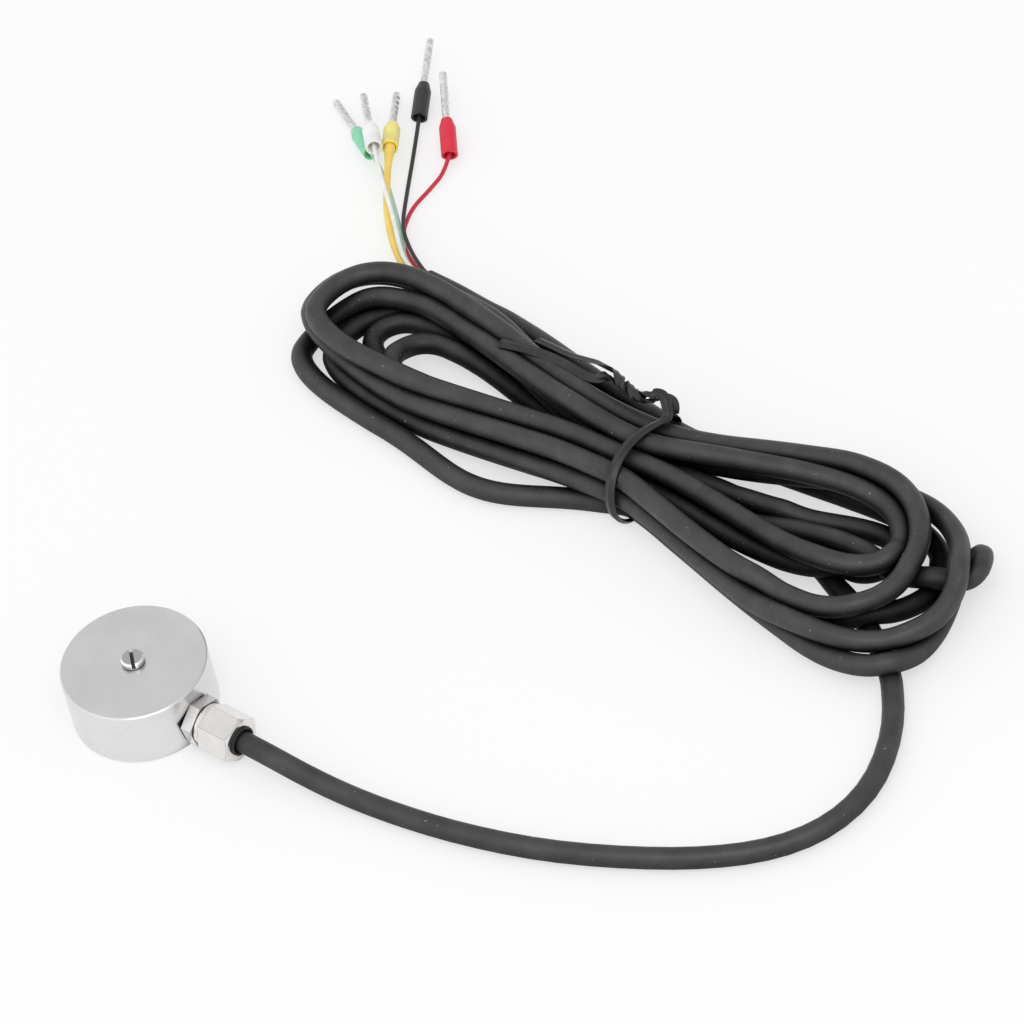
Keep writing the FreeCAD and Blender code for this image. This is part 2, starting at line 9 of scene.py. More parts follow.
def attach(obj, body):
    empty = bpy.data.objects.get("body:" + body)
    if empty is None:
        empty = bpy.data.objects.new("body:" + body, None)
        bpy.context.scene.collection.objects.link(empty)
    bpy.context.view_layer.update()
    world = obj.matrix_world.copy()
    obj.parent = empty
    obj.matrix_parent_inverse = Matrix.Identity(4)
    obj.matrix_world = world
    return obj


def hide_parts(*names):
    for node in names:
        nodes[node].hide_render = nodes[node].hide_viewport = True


# Force sensor with a tied cable hank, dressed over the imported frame. Row frame, metres.

MM = 0.001
UPWARD = (0.0, 0.0, 1.0)
BLACK = (0.0, 0.0, 0.0)
WHITE = (1.0, 1.0, 1.0)
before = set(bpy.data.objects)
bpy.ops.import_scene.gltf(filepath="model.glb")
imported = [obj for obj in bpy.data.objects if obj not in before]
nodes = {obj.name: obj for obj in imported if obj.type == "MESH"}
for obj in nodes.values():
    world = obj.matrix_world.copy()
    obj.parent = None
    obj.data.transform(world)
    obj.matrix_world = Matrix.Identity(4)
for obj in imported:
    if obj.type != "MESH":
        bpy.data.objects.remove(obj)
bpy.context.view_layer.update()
scene = bpy.context.scene
scene.view_settings.view_transform = "Standard"


# Camera at the photograph's viewing angle.

CAMERA_AZIMUTH = math.radians(48.33)
CAMERA_ELEVATION = math.radians(47.25)
CAMERA_ROLL = math.radians(-13.39)
CAMERA_TARGET = Vector((21.53, 52.41, 0.0)) * MM
CAMERA_DISTANCE = 1.0
CAMERA_LENS = 260.0
CAMERA_SENSOR = 36.0
CAMERA_NEAR = 0.01


def camera_axes():
    level = math.cos(CAMERA_ELEVATION)
    back = Vector((
        math.sin(CAMERA_AZIMUTH) * level,
        -math.cos(CAMERA_AZIMUTH) * level,
        math.sin(CAMERA_ELEVATION),
    ))
    level_right = Vector((math.cos(CAMERA_AZIMUTH), math.sin(CAMERA_AZIMUTH), 0.0))
    level_up = back.cross(level_right)
    right = level_right * math.cos(CAMERA_ROLL) + level_up * math.sin(CAMERA_ROLL)
    return right, back.cross(right), back


def make_camera():
    right, up, back = camera_axes()
    data = bpy.data.cameras.new("camera")
    data.lens = CAMERA_LENS
    data.sensor_width = CAMERA_SENSOR
    data.clip_start = CAMERA_NEAR
    camera = bpy.data.objects.new("camera", data)
    turn = Matrix((right, up, back)).transposed().to_4x4()
    camera.matrix_world = Matrix.Translation(CAMERA_TARGET + back * CAMERA_DISTANCE) @ turn
    scene.collection.objects.link(camera)
    scene.camera = camera


make_camera()


# Node helpers for the procedural materials.

NOISE_ROUGHNESS = 0.55


def new_material(name, colour, roughness, metallic=0.0):
    material = bpy.data.materials.new(name)
    material.use_nodes = True
    shader = material.node_tree.nodes["Principled BSDF"]
    shader.inputs["Base Color"].default_value = (*colour, 1.0)
    shader.inputs["Roughness"].default_value = roughness
    shader.inputs["Metallic"].default_value = metallic
    return material, material.node_tree, shader


def add_node(tree, kind, **values):
    node = tree.nodes.new(kind)
    for key, value in values.items():
        if key in node.inputs:
            node.inputs[key].default_value = value
        else:
            setattr(node, key, value)
    return node


def noise(tree, scale, detail=3.0):
    coordinates = add_node(tree, "ShaderNodeTexCoord")
    texture = add_node(tree, "ShaderNodeTexNoise", Scale=scale, Detail=detail, Roughness=NOISE_ROUGHNESS)
    tree.links.new(coordinates.outputs["Object"], texture.inputs["Vector"])
    return texture.outputs["Fac"]


def ramp(tree, factor, stops):
    node = add_node(tree, "ShaderNodeValToRGB")
    while len(node.color_ramp.elements) < len(stops):
        node.color_ramp.elements.new(0.5)
    for element, (place, colour) in zip(node.color_ramp.elements, stops):
        element.position = place
        element.color = (*colour, 1.0)
    tree.links.new(factor, node.inputs["Fac"])
    return node.outputs["Color"]


def rescale(tree, value, before, after):
    # Takes the first range to the second, and stops at its ends.
    node = add_node(tree, "ShaderNodeMapRange")
    node.inputs["From Min"].default_value = before[0]
    node.inputs["From Max"].default_value = before[1]
    node.inputs["To Min"].default_value = after[0]
    node.inputs["To Max"].default_value = after[1]
    tree.links.new(value, node.inputs["Value"])
    return node.outputs["Result"]


def spread(tree, factor, low, high):
    return rescale(tree, factor, (0.0, 1.0), (low, high))


def calculate(tree, operation, first, second):
    node = add_node(tree, "ShaderNodeMath", operation=operation)
    for value, socket in zip((first, second), node.inputs):
        if isinstance(value, float):
            socket.default_value = value
        else:
            tree.links.new(value, socket)
    return node.outputs["Value"]


def bump(tree, shader, height, strength, distance):
    node = add_node(tree, "ShaderNodeBump", Strength=strength, Distance=distance)
    tree.links.new(height, node.inputs["Height"])
    tree.links.new(node.outputs["Normal"], shader.inputs["Normal"])


def occlusion(tree, reach, samples):
    return add_node(tree, "ShaderNodeAmbientOcclusion", samples=samples, Distance=reach)


def facing(tree, direction, low, high):
    # 0 to 1 as the surface turns to face a direction.
    place = add_node(tree, "ShaderNodeNewGeometry")
    product = add_node(tree, "ShaderNodeVectorMath", operation="DOT_PRODUCT")
    product.inputs[1].default_value = tuple(direction)
    tree.links.new(place.outputs["Normal"], product.inputs[0])
    return rescale(tree, product.outputs["Value"], (low, high), (0.0, 1.0))


def mix_colours(tree, factor, first, colour):
    mix = add_node(tree, "ShaderNodeMix", data_type="RGBA")
    tree.links.new(factor, mix.inputs["Factor"])
    tree.links.new(first, mix.inputs["A"])
    mix.inputs["B"].default_value = (*colour, 1.0)
    return mix.outputs["Result"]


def mix_over(tree, shader, factor, colour):
    # Lays another colour over the base colour where the factor is 1.
    first = shader.inputs["Base Color"].links[0].from_socket
    tree.links.new(mix_colours(tree, factor, first, colour), shader.inputs["Base Color"])


def clouded(tree, shader, scale, detail, dark, pale):
    # Base colour that drifts between two colours, each given with its place on the ramp.
    tree.links.new(ramp(tree, noise(tree, scale, detail), [dark, pale]), shader.inputs["Base Color"])


def uneven(tree, shader, scale, detail, low, high):
    # Roughness that drifts between two levels.
    tree.links.new(spread(tree, noise(tree, scale, detail), low, high), shader.inputs["Roughness"])


def grain(tree, shader, scale, detail, strength, distance):
    bump(tree, shader, noise(tree, scale, detail), strength, distance)


# Cable jacket: matt grey-black with fine dust.

JACKET_DARK = (0.018, 0.0185, 0.0195)
JACKET_PALE = (0.04, 0.041, 0.043)
DUST = (0.35, 0.35, 0.36)
JACKET_SHADE_REACH = 0.009
JACKET_SHADE_POWER = 1.8


def jacket_material():
    # Painted shade: the colour darkens and the gloss fades in the gaps between the turns, where little
    # light comes in.
    material, tree, shader = new_material("cable_jacket", JACKET_DARK, roughness=0.5)
    cloud = ramp(tree, noise(tree, scale=260.0), [(0.35, JACKET_DARK), (0.75, JACKET_PALE)])
    speck = ramp(tree, noise(tree, scale=2600.0, detail=1.0), [(0.77, BLACK), (0.8, WHITE)])
    shade = occlusion(tree, JACKET_SHADE_REACH, samples=8)
    tree.links.new(mix_colours(tree, speck, cloud, DUST), shade.inputs["Color"])
    tree.links.new(shade.outputs["Color"], shader.inputs["Base Color"])
    light = calculate(tree, "POWER", shade.outputs["AO"], JACKET_SHADE_POWER)
    tree.links.new(spread(tree, light, low=0.02, high=0.62), shader.inputs["Specular IOR Level"])
    tree.links.new(spread(tree, light, low=0.0, high=0.08), shader.inputs["Coat Weight"])
    shader.inputs["Coat Roughness"].default_value = 0.16
    uneven(tree, shader, scale=900.0, detail=3.0, low=0.42, high=0.6)
    grain(tree, shader, scale=2400.0, detail=4.0, strength=0.25, distance=0.00006)
    return material


# Cable: lead from the gland, turns of the hank, and tail to the stripped end. Points in millimetres.

CABLE_DIAMETER = 3.0
CABLE_STEPS = 3
ROUND_STEPS = 6
LEAD = [
    (7.0, 0.0, 3.5), (13.0, 0.0, 3.5), (18.0, 0.0, 3.5), (22.5, 0.0, 3.5), (28.5, 0.5, 2.3),
    (35.0, 1.2, 1.5), (43.0, 2.2, 1.5), (52.0, 4.0, 1.5), (63.0, 7.4, 1.5), (74.0, 12.6, 1.5),
    (82.5, 17.8, 1.5), (89.0, 23.6, 1.5), (92.8, 30.5, 1.5), (93.4, 38.5, 1.5), (90.2, 47.1, 1.5),
]

# The hank's own frame: U along the hank from the tie, V across it, turned by its heading.
TIE_CENTRE = (34.9, 64.8)
HANK_HEADING = math.radians(9.9)

# Way in under the hank, flat on the floor, in the hank's U and V.
LEAD_IN = [
    (47.75, -19.85), (45.6, -17.2), (43.3, -14.8), (41.1, -12.8), (38.9, -11.0), (37.1, -9.7),
    (35.4, -8.5), (33.2, -7.2), (31.0, -5.9), (28.5, -4.4), (26.0, -2.9), (23.8, -1.5),
    (21.5, -0.2), (18.8, 0.8), (16.0, 1.6), (13.0, 2.2), (10.5, 2.5), (8.0, 2.6), (5.3, 2.6),
    (2.6, 2.4),
]

# Way out to the stripped end, in the hank's U, V and height.
TAIL_OUT = [
    (-2.0, 8.7, 4.7), (-4.2, 9.4, 4.6), (-6.8, 10.2, 4.4), (-9.4, 11.1, 4.1), (-12.0, 12.1, 3.8),
    (-15.0, 13.3, 3.5), (-18.0, 14.5, 3.2), (-21.1, 15.8, 2.9), (-24.9, 17.3, 2.6),
    (-28.8, 18.6, 2.3), (-32.0, 19.7, 2.0), (-35.0, 20.3, 1.8), (-38.0, 21.1, 1.7),
    (-41.0, 21.9, 1.6), (-43.8, 22.5, 1.5), (-46.4, 22.95, 1.5),
]

# Where each pass lies in the tie: V and height.
PASSES = [
    (2.2, 1.5), (-0.9, 1.5), (5.3, 1.5), (-2.2, 4.3), (0.9, 4.3), (-5.3, 4.3), (4.0, 4.4),
    (-4.4, 7.1), (4.9, 7.0), (-1.2, 7.4), (1.9, 7.5), (-4.0, 1.5), (8.0, 4.7),
]

# Half loops in winding order, to the left and to the right of the tie by turns: tip U and V,
# bulge out and back, belly out and back, height on the way out, at the tip and on the way back,
# and depth and U of the sag on the way back.
HALF_LOOPS = [
    (-43.6, 7.9, 5.6, 2.6, 2.3, 2.5, 1.6, 1.5, 1.5, 0.0, 0.0),
    (49.4, 7.4, 19.0, -7.7, 1.1, 0.3, 3.4, 2.7, 4.1, 6.1, 46.6),
    (-48.2, 11.0, 6.0, 3.4, 1.5, 3.0, 1.5, 1.5, 1.5, 0.0, 0.0),
    (39.4, -0.2, 5.9, 3.0, 1.0, 1.4, 3.0, 3.0, 3.0, 2.7, 21.3),
    (-52.3, 6.5, 11.7, 4.1, 1.5, 1.1, 2.0, 1.8, 1.8, 0.0, 0.0),
    (49.8, -6.8, 11.1, 12.2, 1.2, 1.5, 4.6, 4.5, 4.2, 0.0, 0.0),
    (-58.0, 11.9, 10.5, 5.4, 1.6, 1.2, 3.0, 3.6, 3.5, 0.0, 0.0),
    (42.9, -5.0, 9.8, 11.5, 1.1, 1.5, 5.5, 6.0, 6.5, 0.0, 0.0),
    (-56.1, 9.9, 10.2, 4.0, 1.9, 1.6, 6.0, 6.0, 5.0, 0.0, 0.0),
    (39.8, -1.4, 5.4, 6.7, 1.5, 1.3, 6.0, 5.0, 6.0, 0.0, 0.0),
    (-56.6, 5.2, 12.9, 5.3, 1.6, 0.88, 3.0, 1.5, 1.5, 4.3, -20.7),
    (49.5, -10.7, 10.8, 12.1, 1.5, 1.6, 4.2, 2.5, 1.5, 0.0, 0.0),
]
SAG_REACH = 12.0
HALF_LOOP_POINTS = 60

# Shares of a half loop where its height is given: twice near its first pass, on the way out, at
# the tip, on the way back, and twice near its second pass.
LEVEL_SHARES = (0.0, 0.06, 0.22, 0.5, 0.78, 0.94, 1.0)

# Limits of the settled turns, and the points at both ends of the hank that stay where they are.
TIGHTEST_BEND = 2.6
FOLD_WIDTH = 5.0
HELD_FIRST = 3
HELD_LAST = 2

# Lengths of cable between two points: under the first they aren't kept apart, and up to the
# second they are the two legs of a fold.
NEIGHBOUR_RUN = 2.2 * CABLE_DIAMETER
FOLD_RUN = 4.5 * CABLE_DIAMETER

# Rounds of settling, how often close pairs are looked for, and how far.
SETTLE_ROUNDS = 300
SEARCH_EVERY = 8
SEARCH_REACH = CABLE_DIAMETER * 1.6

# Moves in a round: sinking in the first one, shares of the way back across the view and in all,
# and the share of the push that parts two turns.
FIRST_SINKING = 0.02
BACK_ACROSS = 0.08
BACK_IN_ALL = 0.003
PUSH_SHARE = 1.2

# How much of the drawn bend the cable keeps, and how stiffly.
BEND_KEPT = 0.95
BEND_STIFFNESS = 0.45

# Keep divisions away from zero.
LEAST_BEND = 1e-6
LEAST_DISTANCE = 0.001


def bulge(along, belly):
    peak_along = np.sqrt(belly / (belly + 1.0))
    peak = np.sqrt(1.0 - peak_along ** 2) * peak_along ** belly
    return along ** belly / peak


def half_loop(begin, end, shape):
    tip_u, tip_v, wide_out, wide_back, belly_out, belly_back = shape[:6]
    level_out, level_tip, level_back, sag, sag_u = shape[6:]
    angle = np.linspace(0.0, np.pi, HALF_LOOP_POINTS, endpoint=False)
    along = np.sin(angle)
    outward = angle < np.pi / 2
    middle_out = begin[0] + (tip_v - begin[0]) * along
    middle_back = end[0] + (tip_v - end[0]) * along
    middle = np.where(outward, middle_out, middle_back)
    wide = np.where(outward, wide_out * bulge(along, belly_out), wide_back * bulge(along, belly_back))
    side = 1.0 if tip_u < 0 else -1.0
    sagging = sag * np.exp(-((tip_u * along - sag_u) / SAG_REACH) ** 2)
    middle = middle - np.where(outward, 0.0, sagging)
    levels = [begin[1], begin[1], level_out, level_tip, level_back, end[1], end[1]]
    height = np.interp(angle, np.array(LEVEL_SHARES) * np.pi, levels)
    return np.stack([tip_u * along, middle + wide * np.cos(angle) * side, height], 1)


def bends(place):
    # From each inner point to the middle between its two neighbours.
    return (place[:-2] + place[2:]) / 2.0 - place[1:-1]


def eased_bends(home, steps):
    # Bends as drawn, with those that are too tight eased.
    drawn = bends(home)
    limit = ((steps[:-1] + steps[1:]) / 2.0) ** 2 / (2.0 * TIGHTEST_BEND)
    size = np.maximum(np.linalg.norm(drawn, axis=1), LEAST_BEND)
    return drawn * np.minimum(1.0, limit / size)[:, None]


def pairs_kept_apart(steps):
    # Pairs of points that aren't neighbours along the cable, and the room that each pair needs.
    run = np.concatenate([[0.0], np.cumsum(steps)])
    first, second = np.triu_indices(len(run), 1)
    along_cord = run[second] - run[first]
    checked = along_cord > NEIGHBOUR_RUN
    room = np.where(along_cord[checked] > FOLD_RUN, CABLE_DIAMETER, FOLD_WIDTH)
    return first[checked], second[checked], room


def push_apart(place, near, far, apart):
    gap = place[near] - place[far]
    distance = np.maximum(np.linalg.norm(gap, axis=1), LEAST_DISTANCE)
    push = gap / distance[:, None] * (np.maximum(apart - distance, 0.0) / 2.0)[:, None]
    move = np.zeros_like(place)
    count = np.zeros(len(place))
    np.add.at(move, near, push)
    np.add.at(move, far, -push)
    np.add.at(count, near, distance < apart)
    np.add.at(count, far, distance < apart)
    return move / np.sqrt(np.maximum(count, 1.0))[:, None] * PUSH_SHARE


def settle(home, held):
    # Lets the turns sink until they lie on the floor or on each other, a diameter apart, with the
    # two legs of a fold a little wider. A turn slides freely towards or away from the camera, and
    # stays where the photograph shows it across the view.
    view = np.array(camera_axes()[2])
    place = home.copy()
    steps = np.linalg.norm(np.diff(home, axis=0), axis=1)
    drawn_bends = eased_bends(home, steps)
    first, second, room = pairs_kept_apart(steps)
    for step in range(SETTLE_ROUNDS):
        if step % SEARCH_EVERY == 0:
            close = np.abs(place[first] - place[second]).max(1) < SEARCH_REACH
            near, far, apart = first[close], second[close], room[close]
        place[:, 2] -= FIRST_SINKING * (1.0 - step / SETTLE_ROUNDS)
        away = home - place
        across = away - (away @ view)[:, None] * view
        place += across * BACK_ACROSS + away * BACK_IN_ALL
        place[1:-1] += (bends(place) - drawn_bends * BEND_KEPT) * BEND_STIFFNESS
        place += push_apart(place, near, far, apart)
        place[:, 2] = np.maximum(place[:, 2], CABLE_DIAMETER / 2.0)
        place[held] = home[held]
    return place


def hank_to_row(points):
    u, v, z = np.asarray(points, float).T
    x = TIE_CENTRE[0] + u * math.cos(HANK_HEADING) - v * math.sin(HANK_HEADING)
    y = TIE_CENTRE[1] + u * math.sin(HANK_HEADING) + v * math.cos(HANK_HEADING)
    return np.stack([x, y, z], 1)


def hank_points():
    way_in = [(u, v, CABLE_DIAMETER / 2.0) for u, v in LEAD_IN]
    turns = [half_loop(PASSES[k], PASSES[k + 1], shape) for k, shape in enumerate(HALF_LOOPS)]
    way_out = [(0.0, *PASSES[-1])] + TAIL_OUT
    points = np.concatenate([np.array(way_in)] + turns + [np.array(way_out)])
    held = np.zeros(len(points), bool)
    held[:HELD_FIRST] = True
    held[-HELD_LAST:] = True
    return settle(hank_to_row(points), held)


def open_spline(name, points, steps):
    data = bpy.data.curves.new(name, "CURVE")
    data.dimensions = "3D"
    spline = data.splines.new("NURBS")
    spline.points.add(len(points) - 1)
    for point, place in zip(spline.points, points):
        point.co = (place[0] * MM, place[1] * MM, place[2] * MM, 1.0)
    spline.order_u = 3
    spline.use_endpoint_u = True
    spline.resolution_u = steps
    return bpy.data.objects.new(name, data)


def cord_curve(name, points, radius, material, steps):
    piece = open_spline(name, points, steps)
    piece.data.bevel_depth = radius * MM
    piece.data.bevel_resolution = ROUND_STEPS
    piece.data.use_fill_caps = True
    piece.data.materials.append(material)
    scene.collection.objects.link(piece)
    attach(piece, "root")
    return piece


hank = hank_points()
route = LEAD + [tuple(point) for point in hank]
cable = cord_curve("cable", route, CABLE_DIAMETER / 2.0, jacket_material(), CABLE_STEPS)
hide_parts("cable_entry", "cable_lead", "cable_hank")


# Five cores at the stripped end, each from inside the jacket to the depth of its ferrule's mouth.

WIRE_START = -11.0
MOUTH_DEPTH = 2.5
WIRE_STEPS = 10
WIRE_ROUGHNESS = 0.42
SLEEVE_ROUGHNESS = 0.36
WIRES = {
    "black": [
        (-15.0, 79.9, 1.95), (-17.2, 80.8, 1.95), (-20.2, 82.4, 1.9), (-24.3, 85.4, 1.6),
        (-28.6, 91.6, 0.6), (-33.6, 99.8, 0.75), (-36.0, 103.8, 1.35),
    ],
    "red": [
        (-15.0, 79.6, 1.1), (-18.3, 80.9, 1.0), (-21.7, 82.8, 0.7), (-23.8, 84.7, 0.4),
        (-25.2, 86.9, 0.35), (-26.4, 90.2, 0.35), (-26.4, 94.4, 0.4), (-26.5, 98.1, 0.8),
        (-27.4, 100.1, 1.4),
    ],
    "yellow": [
        (-15.0, 78.9, 1.5), (-19.6, 79.4, 1.5), (-26.0, 84.4, 3.3), (-31.2, 91.6, 5.0),
        (-34.0, 95.3, 3.95),
    ],
    "white": [
        (-15.0, 79.2, 2.35), (-19.4, 79.8, 2.35), (-24.6, 84.6, 4.3), (-30.9, 89.6, 6.6),
        (-34.8, 93.15, 5.5),
    ],
    "green": [
        (-15.0, 79.3, 0.65), (-18.6, 80.4, 0.7), (-22.0, 82.9, 0.7), (-26.0, 86.6, 0.9),
        (-32.6, 92.0, 3.1), (-36.8, 94.2, 2.5),
    ],
}
PLASTIC_SHADE = 0.86
WIRE_DIAMETER = {"black": 0.6, "red": 0.6, "yellow": 1.0, "white": 0.6, "green": 0.6}
WIRE_COLOUR = {
    "black": (0.03, 0.03, 0.031),
    "red": (0.6, 0.02, 0.05),
    "yellow": (0.93, 0.68, 0.14),
    "white": (0.88, 0.88, 0.87),
    "green": (0.42, 0.66, 0.55),
}
SLEEVE_COLOUR = {
    "black": (0.03, 0.03, 0.032),
    "red": (0.74, 0.022, 0.055),
    "yellow": (0.98, 0.86, 0.27),
    "white": (0.96, 0.96, 0.95),
    "green": (0.25, 0.69, 0.45),
}
CLEAR_SLEEVES = ("yellow", "white", "green")

# Painted shade in each sleeve's hollow mouth, on the faces turned to the wire.
MOUTH_PAINTED_SHADE = {
    "black": (0.008, 0.008, 0.009),
    "red": (0.76, 0.004, 0.03),
    "yellow": (0.9, 0.72, 0.06),
    "white": (0.8, 0.8, 0.79),
    "green": (0.12, 0.52, 0.2),
}

# The yellow core's insulation widens into its ferrule, over this length before the wire's end.
FLARED_WIRE = "yellow"
FLARE_RADIUS = 0.88
FLARE_LENGTH = 7.0
FLARE_POWER = 1.5
FLARE_STEPS = 12
FLARE_CORNERS = 24


def plastic_material(name, colour, roughness, clear=False):
    material, tree, shader = new_material(name, colour, roughness)
    deep = tuple(value * PLASTIC_SHADE for value in colour)
    clouded(tree, shader, scale=700.0, detail=3.0, dark=(0.3, deep), pale=(0.7, colour))
    uneven(tree, shader, scale=1500.0, detail=3.0, low=roughness - 0.06, high=roughness + 0.08)
    grain(tree, shader, scale=3200.0, detail=4.0, strength=0.12, distance=0.00004)
    if clear:
        shader.inputs["Subsurface Weight"].default_value = 0.5
        shader.inputs["Subsurface Radius"].default_value = (1.0, 1.0, 0.8)
        shader.inputs["Subsurface Scale"].default_value = 0.0012
    return material


def paint_mouth_shade(material, direction, colour):
    # Painted shade on the faces that look along the direction, standing in for the dark hollow of the
    # mouth.
    tree = material.node_tree
    shader = tree.nodes["Principled BSDF"]
    mix_over(tree, shader, facing(tree, direction, low=0.75, high=0.9), colour)


def dress(name, material):
    slots = nodes[name].data.materials
    slots.clear()
    slots.append(material)


def spline_points(points, steps):
    line = open_spline("line", points, steps)
    mesh = bpy.data.meshes.new_from_object(line)
    places = np.array([vertex.co for vertex in mesh.vertices]) / MM
    bpy.data.meshes.remove(mesh)
    bpy.data.objects.remove(line)
    return places


def directions(places):
    along = np.gradient(places, axis=0)
    return along / np.linalg.norm(along, axis=1)[:, None]


def skin(name, rings, material):
    # Closed smooth mesh over rings of corners, riding on the object.
    mesh = bmesh.new()
    rows = [[mesh.verts.new(corner * MM) for corner in ring] for ring in rings]
    for before, after in zip(rows, rows[1:]):
        for k in range(len(before)):
            mesh.faces.new((before[k - 1], before[k], after[k], after[k - 1]))
    mesh.faces.new(rows[0])
    mesh.faces.new(rows[-1])
    bmesh.ops.recalc_face_normals(mesh, faces=mesh.faces)
    for face in mesh.faces:
        face.smooth = True
    data = bpy.data.meshes.new(name)
    mesh.to_mesh(data)
    mesh.free()
    data.materials.append(material)
    piece = bpy.data.objects.new(name, data)
    scene.collection.objects.link(piece)
    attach(piece, "root")
    return piece


def make_flare(name, points, radius, material):
    places = spline_points(points, FLARE_STEPS)
    to_end = np.linalg.norm(places - places[-1], axis=1)
    places = places[to_end < FLARE_LENGTH]
    share = 1.0 - to_end[to_end < FLARE_LENGTH] / FLARE_LENGTH
    radii = radius + (FLARE_RADIUS - radius) * np.sin(share * math.pi / 2.0) ** FLARE_POWER
    along = directions(places)
    sides = np.cross(along, UPWARD)
    sides /= np.linalg.norm(sides, axis=1)[:, None]
    upward = np.cross(sides, along)
    turn = np.linspace(0.0, 2.0 * math.pi, FLARE_CORNERS, endpoint=False)[:, None]
    around = sides[:, None] * np.cos(turn) + upward[:, None] * np.sin(turn)
    return skin(name, places[:, None] + around * radii[:, None, None], material)


def make_wire(colour):
    points = [np.array(point) for point in WIRES[colour]]
    way = (points[-1] - points[-2]) / np.linalg.norm(points[-1] - points[-2])
    points[-1] = points[-1] + way * MOUTH_DEPTH
    points.insert(0, np.array((WIRE_START, points[0][1], points[0][2])))
    diameter = WIRE_DIAMETER[colour]
    material = plastic_material("wire_" + colour, WIRE_COLOUR[colour], WIRE_ROUGHNESS)
    wire = cord_curve("core_" + colour, points, diameter / 2.0, material, WIRE_STEPS)
    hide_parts("wire_" + colour)
    if colour == FLARED_WIRE:
        make_flare("flare_" + colour, points, diameter / 2.0, material)
    clear = colour in CLEAR_SLEEVES
    sleeve = plastic_material("sleeve_" + colour, SLEEVE_COLOUR[colour], SLEEVE_ROUGHNESS, clear)
    paint_mouth_shade(sleeve, -way, MOUTH_PAINTED_SHADE[colour])
    dress("ferrule_sleeve_" + colour, sleeve)


for colour in WIRES:
    make_wire(colour)


# Twist tie: one ribbed strip, from its upper tail down a strand of the twist, round the hank and
# back to the other tail. Points in the hank's U, V and height.

UPPER_TAIL = [
    (-24.1, 15.5, 5.2), (-21.0, 14.7, 5.7), (-17.7, 13.6, 6.4), (-15.0, 12.9, 7.4),
    (-12.4, 12.2, 8.4),
]
LOWER_TAIL = [
    (-11.1, 9.4, 8.3), (-13.6, 9.7, 8.1), (-17.2, 10.6, 8.3), (-20.8, 11.0, 8.4),
    (-23.9, 11.1, 8.3), (-27.0, 10.9, 8.2),
]
TWIST_AXIS = [
    (-1.0, 7.5, 10.6), (-2.2, 7.0, 10.5), (-3.6, 7.1, 10.4), (-5.4, 8.1, 10.2), (-7.3, 9.2, 9.9),
    (-9.1, 10.2, 9.5),
]
NEAR_STRAP = [(-0.5, 7.9, 11.1), (0.6, 7.8, 11.2), (1.3, 7.1, 10.8), (1.7, 6.5, 10.0), (1.9, 6.1, 9.5)]
BAND = [
    (1.8, 5.2, 9.4), (0.8, 3.6, 9.6), (-0.2, 1.3, 9.8), (-0.7, -1.4, 9.8), (-0.8, -3.8, 9.4),
    (-0.7, -5.9, 8.4), (-0.6, -7.2, 6.4), (-0.5, -7.7, 4.2), (-0.1, -7.6, 2.4), (0.6, -6.8, 0.9),
    (1.4, -5.4, 0.4), (1.5, -2.0, 0.4), (1.4, 2.5, 0.4), (1.1, 6.6, 0.4), (0.8, 8.7, 1.4),
    (0.6, 9.8, 3.4), (0.7, 9.4, 5.6), (1.2, 8.1, 7.4),
]
FAR_STRAP = [(1.9, 7.4, 8.5), (1.9, 7.9, 9.3), (1.5, 8.3, 10.1), (0.3, 8.0, 10.4)]

# Middle of the bundle in V and height, and directions that the strip's outer face looks in.
BAND_MIDDLE = (1.0, 4.6)
UPPER_TAIL_FACE = (0.0, 0.4, 0.92)
LOWER_TAIL_FACE = (0.1, -0.1, 1.0)
STRAP_FACE = (0.42, -0.53, 0.73)

# The two strands' twist, and the strip's section: thin edges and a ridge over the wire in its middle.
TWIST_TURNS = 1.25
TWIST_RADIUS = 0.55
TWIST_STEPS = 4
STRIP_STEPS = 5
STRIP_CORNERS = 28
STRIP_WIDTH = 1.5
STRIP_EDGE = 0.13
STRIP_RIDGE = 0.2
RIDGE_REACH = 0.25

TIE_BLACK = (0.012, 0.012, 0.013)
TIE_DARK = (0.008, 0.008, 0.009)
TIE_PALE = (0.022, 0.022, 0.024)


def band_face(place):
    # Away from the middle of the bundle.
    away = np.array((0.0, place[1] - BAND_MIDDLE[0], place[2] - BAND_MIDDLE[1]))
    return away / np.linalg.norm(away)


def twist_path(phase):
    axis = spline_points(TWIST_AXIS, TWIST_STEPS)
    along = directions(axis)
    upward = np.array(UPWARD) - along * along[:, 2:]
    upward /= np.linalg.norm(upward, axis=1)[:, None]
    angle = (np.linspace(0.0, TWIST_TURNS, len(axis)) * 2.0 * math.pi + phase)[:, None]
    faces = upward * np.cos(angle) + np.cross(along, upward) * np.sin(angle)
    return axis + faces * TWIST_RADIUS, faces


def strip_mesh(name, places, faces, material):
    along = directions(places)
    faces = faces - along * (faces * along).sum(1)[:, None]
    faces /= np.linalg.norm(faces, axis=1)[:, None]
    sides = np.cross(along, faces)
    turn = np.linspace(0.0, 2.0 * math.pi, STRIP_CORNERS, endpoint=False)
    across = np.cos(turn) * STRIP_WIDTH / 2.0
    height = np.sin(turn) * (STRIP_EDGE + STRIP_RIDGE * np.exp(-(across / RIDGE_REACH) ** 2))
    rings = places[:, None] + sides[:, None] * across[:, None] + faces[:, None] * height[:, None]
    return skin(name, rings, material)


def tie_material():
    material, tree, shader = new_material("tie_plastic", TIE_BLACK, roughness=0.34)
    clouded(tree, shader, scale=400.0, detail=3.0, dark=(0.35, TIE_DARK), pale=(0.75, TIE_PALE))
    uneven(tree, shader, scale=1200.0, detail=3.0, low=0.28, high=0.45)
    grain(tree, shader, scale=2600.0, detail=4.0, strength=0.2, distance=0.00005)
    return material


